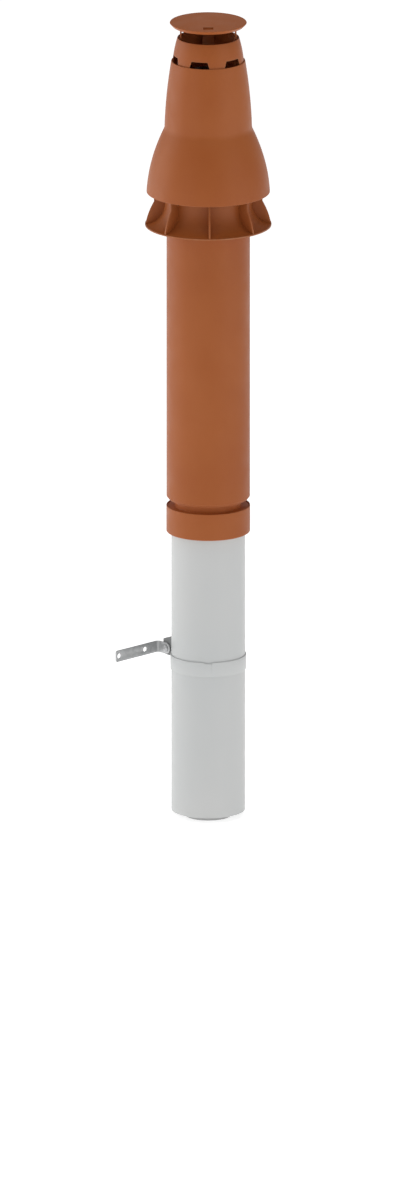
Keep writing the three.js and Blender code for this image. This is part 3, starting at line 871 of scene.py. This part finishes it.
def makeStrap():
    middle = outerPipe["radius"] + gap + strap["thick"] / 2
    earY = (strap["earSpace"] + strap["thick"]) / 2
    root = strap["rootRadius"]
    rootAngle = degrees(asin((earY + root) / (middle + root)))
    rootX = (middle + root) * cos(radians(rootAngle))
    ear = strap["earEnd"] - rootX
    path = {
        "start": (strap["earEnd"], earY), "heading": 180,
        "steps": [("go", ear), ("turn", root, rootAngle - 90),
                  ("turn", middle, 360 - 2 * rootAngle),
                  ("turn", root, rootAngle - 90), ("go", ear)],
    }
    rootLong = root * radians(90 - rootAngle)
    band = middle * radians(360 - 2 * rootAngle)
    total = 2 * (ear + rootLong) + band
    bandFrom, bandTo = ear + rootLong, ear + rootLong + band
    front = bandFrom + middle * radians(bracketTurn - rootAngle)  # the notch faces the front
    peak = strap["earEnd"] - strap["earPeak"]
    low, high = strap["top"] - strap["tall"], strap["top"]
    halfNotch, notchFloor = strap["notchWide"] / 2, high - strap["notchDeep"]
    atEnd, atPeak = strap["endRounding"], strap["peakRounding"]
    atBand, atNotch = strap["bandRounding"], strap["notchRounding"]
    outline = softOutline([
        (0, strap["earLow"][2], atEnd),
        (peak, strap["earLow"][1], atPeak),
        (bandFrom, low, atBand),
        (bandTo, low, atBand),
        (total - peak, strap["earLow"][1], atPeak),
        (total, strap["earLow"][2], atEnd),
        (total, strap["earTop"][2], atEnd),
        (total - peak, strap["earTop"][1], atPeak),
        (bandTo, high, atBand),
        (front + halfNotch, high, atNotch),
        (front + halfNotch, notchFloor, atNotch),
        (front - halfNotch, notchFloor, atNotch),
        (front - halfNotch, high, atNotch),
        (bandFrom, high, atBand),
        (peak, strap["earTop"][1], atPeak),
        (0, strap["earTop"][2], atEnd),
    ], support=unsupported)
    boltS = strap["earEnd"] - bolt["at"]
    holes = [ring(boltS, boltHeight, bolt["radius"] + gap),
             ring(total - boltS, boltHeight, bolt["radius"] + gap)]
    bandCuts, rootCuts = strap["bandCuts"], strap["rootCuts"]
    cuts = [bandFrom + band * i / bandCuts for i in range(bandCuts + 1)]
    cuts += [ear + rootLong * i / rootCuts for i in range(rootCuts)]
    cuts += [bandTo + rootLong * i / rootCuts for i in range(1, rootCuts + 1)]
    return bentSheet("bracketStrap", outline, holes, strap["thick"], path, cuts, strapCoat,
                     strap["rounding"])


def makeArm():
    near = strap["earSpace"] / 2 + strap["thick"] + gap
    bend = arm["bendRadius"] + arm["thick"] / 2
    first = arm["bendAt"] - arm["thick"] / 2 - bend - arm["start"]
    second = arm["leg"] - near - arm["thick"] / 2 - bend
    bent = bend * pi / 2
    path = {"start": (arm["start"], near + arm["thick"] / 2), "heading": 0,
            "steps": [("go", first), ("turn", bend, 90), ("go", second)]}
    total = first + bent + second
    low, high, half = arm["bottom"], arm["bottom"] + arm["tall"], arm["tall"] / 2
    roundEnd = []
    for i in range(arm["endSteps"] + 1):
        angle = radians(90 + 180 / arm["endSteps"] * i)
        roundEnd.append((half + half * cos(angle), boltHeight + half * sin(angle), 0))
    outline = softOutline([(total, low, arm["corner"]), (total, high, arm["corner"]), *roundEnd],
                          steps=arm["cornerSteps"], support=unsupported)
    screws = [total - fromEnd for fromEnd in arm["screwsFromEnd"]]
    holes = [ring(bolt["at"] - arm["start"], boltHeight, bolt["radius"] + gap)]
    holes += [ring(s, boltHeight, arm["screwHole"], arm["holeCorners"]) for s in screws]
    cuts = [first + bent * i / arm["bendCuts"] for i in range(arm["bendCuts"] + 1)]
    return bentSheet("bracketArm", outline, holes, arm["thick"], path, cuts, zincSteel,
                     arm["rounding"])


def makeBolt():
    nearFace = strap["earSpace"] / 2 + strap["thick"] + gap + arm["thick"] + gap
    farFace = strap["earSpace"] / 2 + strap["thick"] + gap
    head, tall, shank = bolt["head"], bolt["headTall"], bolt["radius"]
    # turned along +Z with the round head up, then laid along the bracket's +Y
    tip = -farFace - tall - into
    dome = [(head * cos(radians(a)), nearFace + tall * sin(radians(a)), 0)
            for a in range(0, 90, bolt["domeStep"])]
    corners = [(0, tip), (shank, tip, bolt["tipRounding"]), (shank, nearFace, bolt["neckRounding"]),
               *dome, (0, nearFace + tall)]
    piece = turned("bracketBolt", softOutline(corners), zincSteel, count=bolt["sides"], centre=0)
    bm = bmesh.new()
    low = []
    for i in range(bolt["nutSides"]):
        angle = radians(360 / bolt["nutSides"] * i)
        corner = Vector((head * cos(angle), head * sin(angle)))
        low.append(bm.verts.new((corner.x * mm, corner.y * mm, (-farFace - tall) * mm)))
    bm.faces.new(low[::-1])
    made = bmesh.ops.extrude_face_region(bm, geom=bm.faces[:])
    grown = [v for v in made["geom"] if isinstance(v, bmesh.types.BMVert)]
    bmesh.ops.translate(bm, verts=grown, vec=(0, 0, tall * mm))
    bmesh.ops.recalc_face_normals(bm, faces=bm.faces)
    nut = pieceOf("nut", bm, bolt["rounding"])
    runTree(piece, joinAround, copy=nut, count=1, firstTurn=0.0, axisX=0.0, material=zincSteel)
    bpy.data.objects.remove(nut)
    lie = (Matrix.Translation((bolt["at"] * mm, 0, boltHeight * mm))
           @ Matrix.Rotation(radians(-90), 4, "X"))
    piece.data.transform(inBracket @ lie)
    return piece


finish(makeStrap(), "bracket_strap")
finish(makeArm(), "bracket_arm")
finish(makeBolt(), "bracket_bolt")

# Studio

studio = {
    "floorSize": 40, "floorColor": (0.9, 0.9, 0.9), "floorGlow": 0.72,
    "worldColor": (0.35, 0.35, 0.35),
    "lightsAim": (0, 0, 0.7),
    "viewFrom": 15, "aim": (0.0204, 0, 0.3763), "height": 2.0328, "distance": 5,
}


def makeFloor():
    material, tree, shader, place = newMaterial("studio floor", **{
        "Base Color": (*studio["floorColor"], 1), "Roughness": 0.9, "Specular IOR Level": 0.1,
        "Emission Color": (1, 1, 1, 1), "Emission Strength": studio["floorGlow"]})
    bm = bmesh.new()
    bmesh.ops.create_grid(bm, x_segments=1, y_segments=1, size=studio["floorSize"] / 2)
    floor = pieceOf("floor", bm)
    floor.data.materials.append(material)


def softbox(name, azimuth, distance, height, wide, tall, power):
    light = bpy.data.lights.new(name, "AREA")
    light.shape = "RECTANGLE"
    light.size, light.size_y, light.energy = wide, tall, power
    lamp = bpy.data.objects.new(name, light)
    scene.collection.objects.link(lamp)
    lamp.location = (distance * sin(radians(azimuth)), -distance * cos(radians(azimuth)), height)
    lamp.rotation_mode = "QUATERNION"
    towards = Vector(studio["lightsAim"]) - lamp.location
    lamp.rotation_quaternion = towards.to_track_quat("-Z", "Y")
    lamp.visible_camera = False


makeFloor()
softbox("left softbox", azimuth=-100, distance=2.8, height=1.5, wide=2.6, tall=2.6, power=33)
softbox("right softbox", azimuth=55, distance=3.0, height=1.3, wide=2.6, tall=2.4, power=17)
softbox("top softbox", azimuth=0, distance=0.5, height=3.6, wide=2, tall=2, power=22)
softbox("front softbox", azimuth=-42, distance=3.4, height=1.2, wide=1.6, tall=1.6, power=8)
world = bpy.data.worlds.new("studio")
world.use_nodes = True
world.node_tree.nodes["Background"].inputs["Color"].default_value = (*studio["worldColor"], 1)
scene.world = world
scene.view_settings.view_transform = "Standard"

camera = bpy.data.objects.new("camera", bpy.data.cameras.new("camera"))
scene.collection.objects.link(camera)
camera.data.type = "ORTHO"
camera.data.ortho_scale = studio["height"]
down = radians(studio["viewFrom"])
camera.location = Vector(studio["aim"]) + Vector((0, -cos(down), sin(down))) * studio["distance"]
camera.rotation_euler = (radians(90) - down, 0, 0)
scene.camera = camera
print("studio: floor, four softboxes and camera")
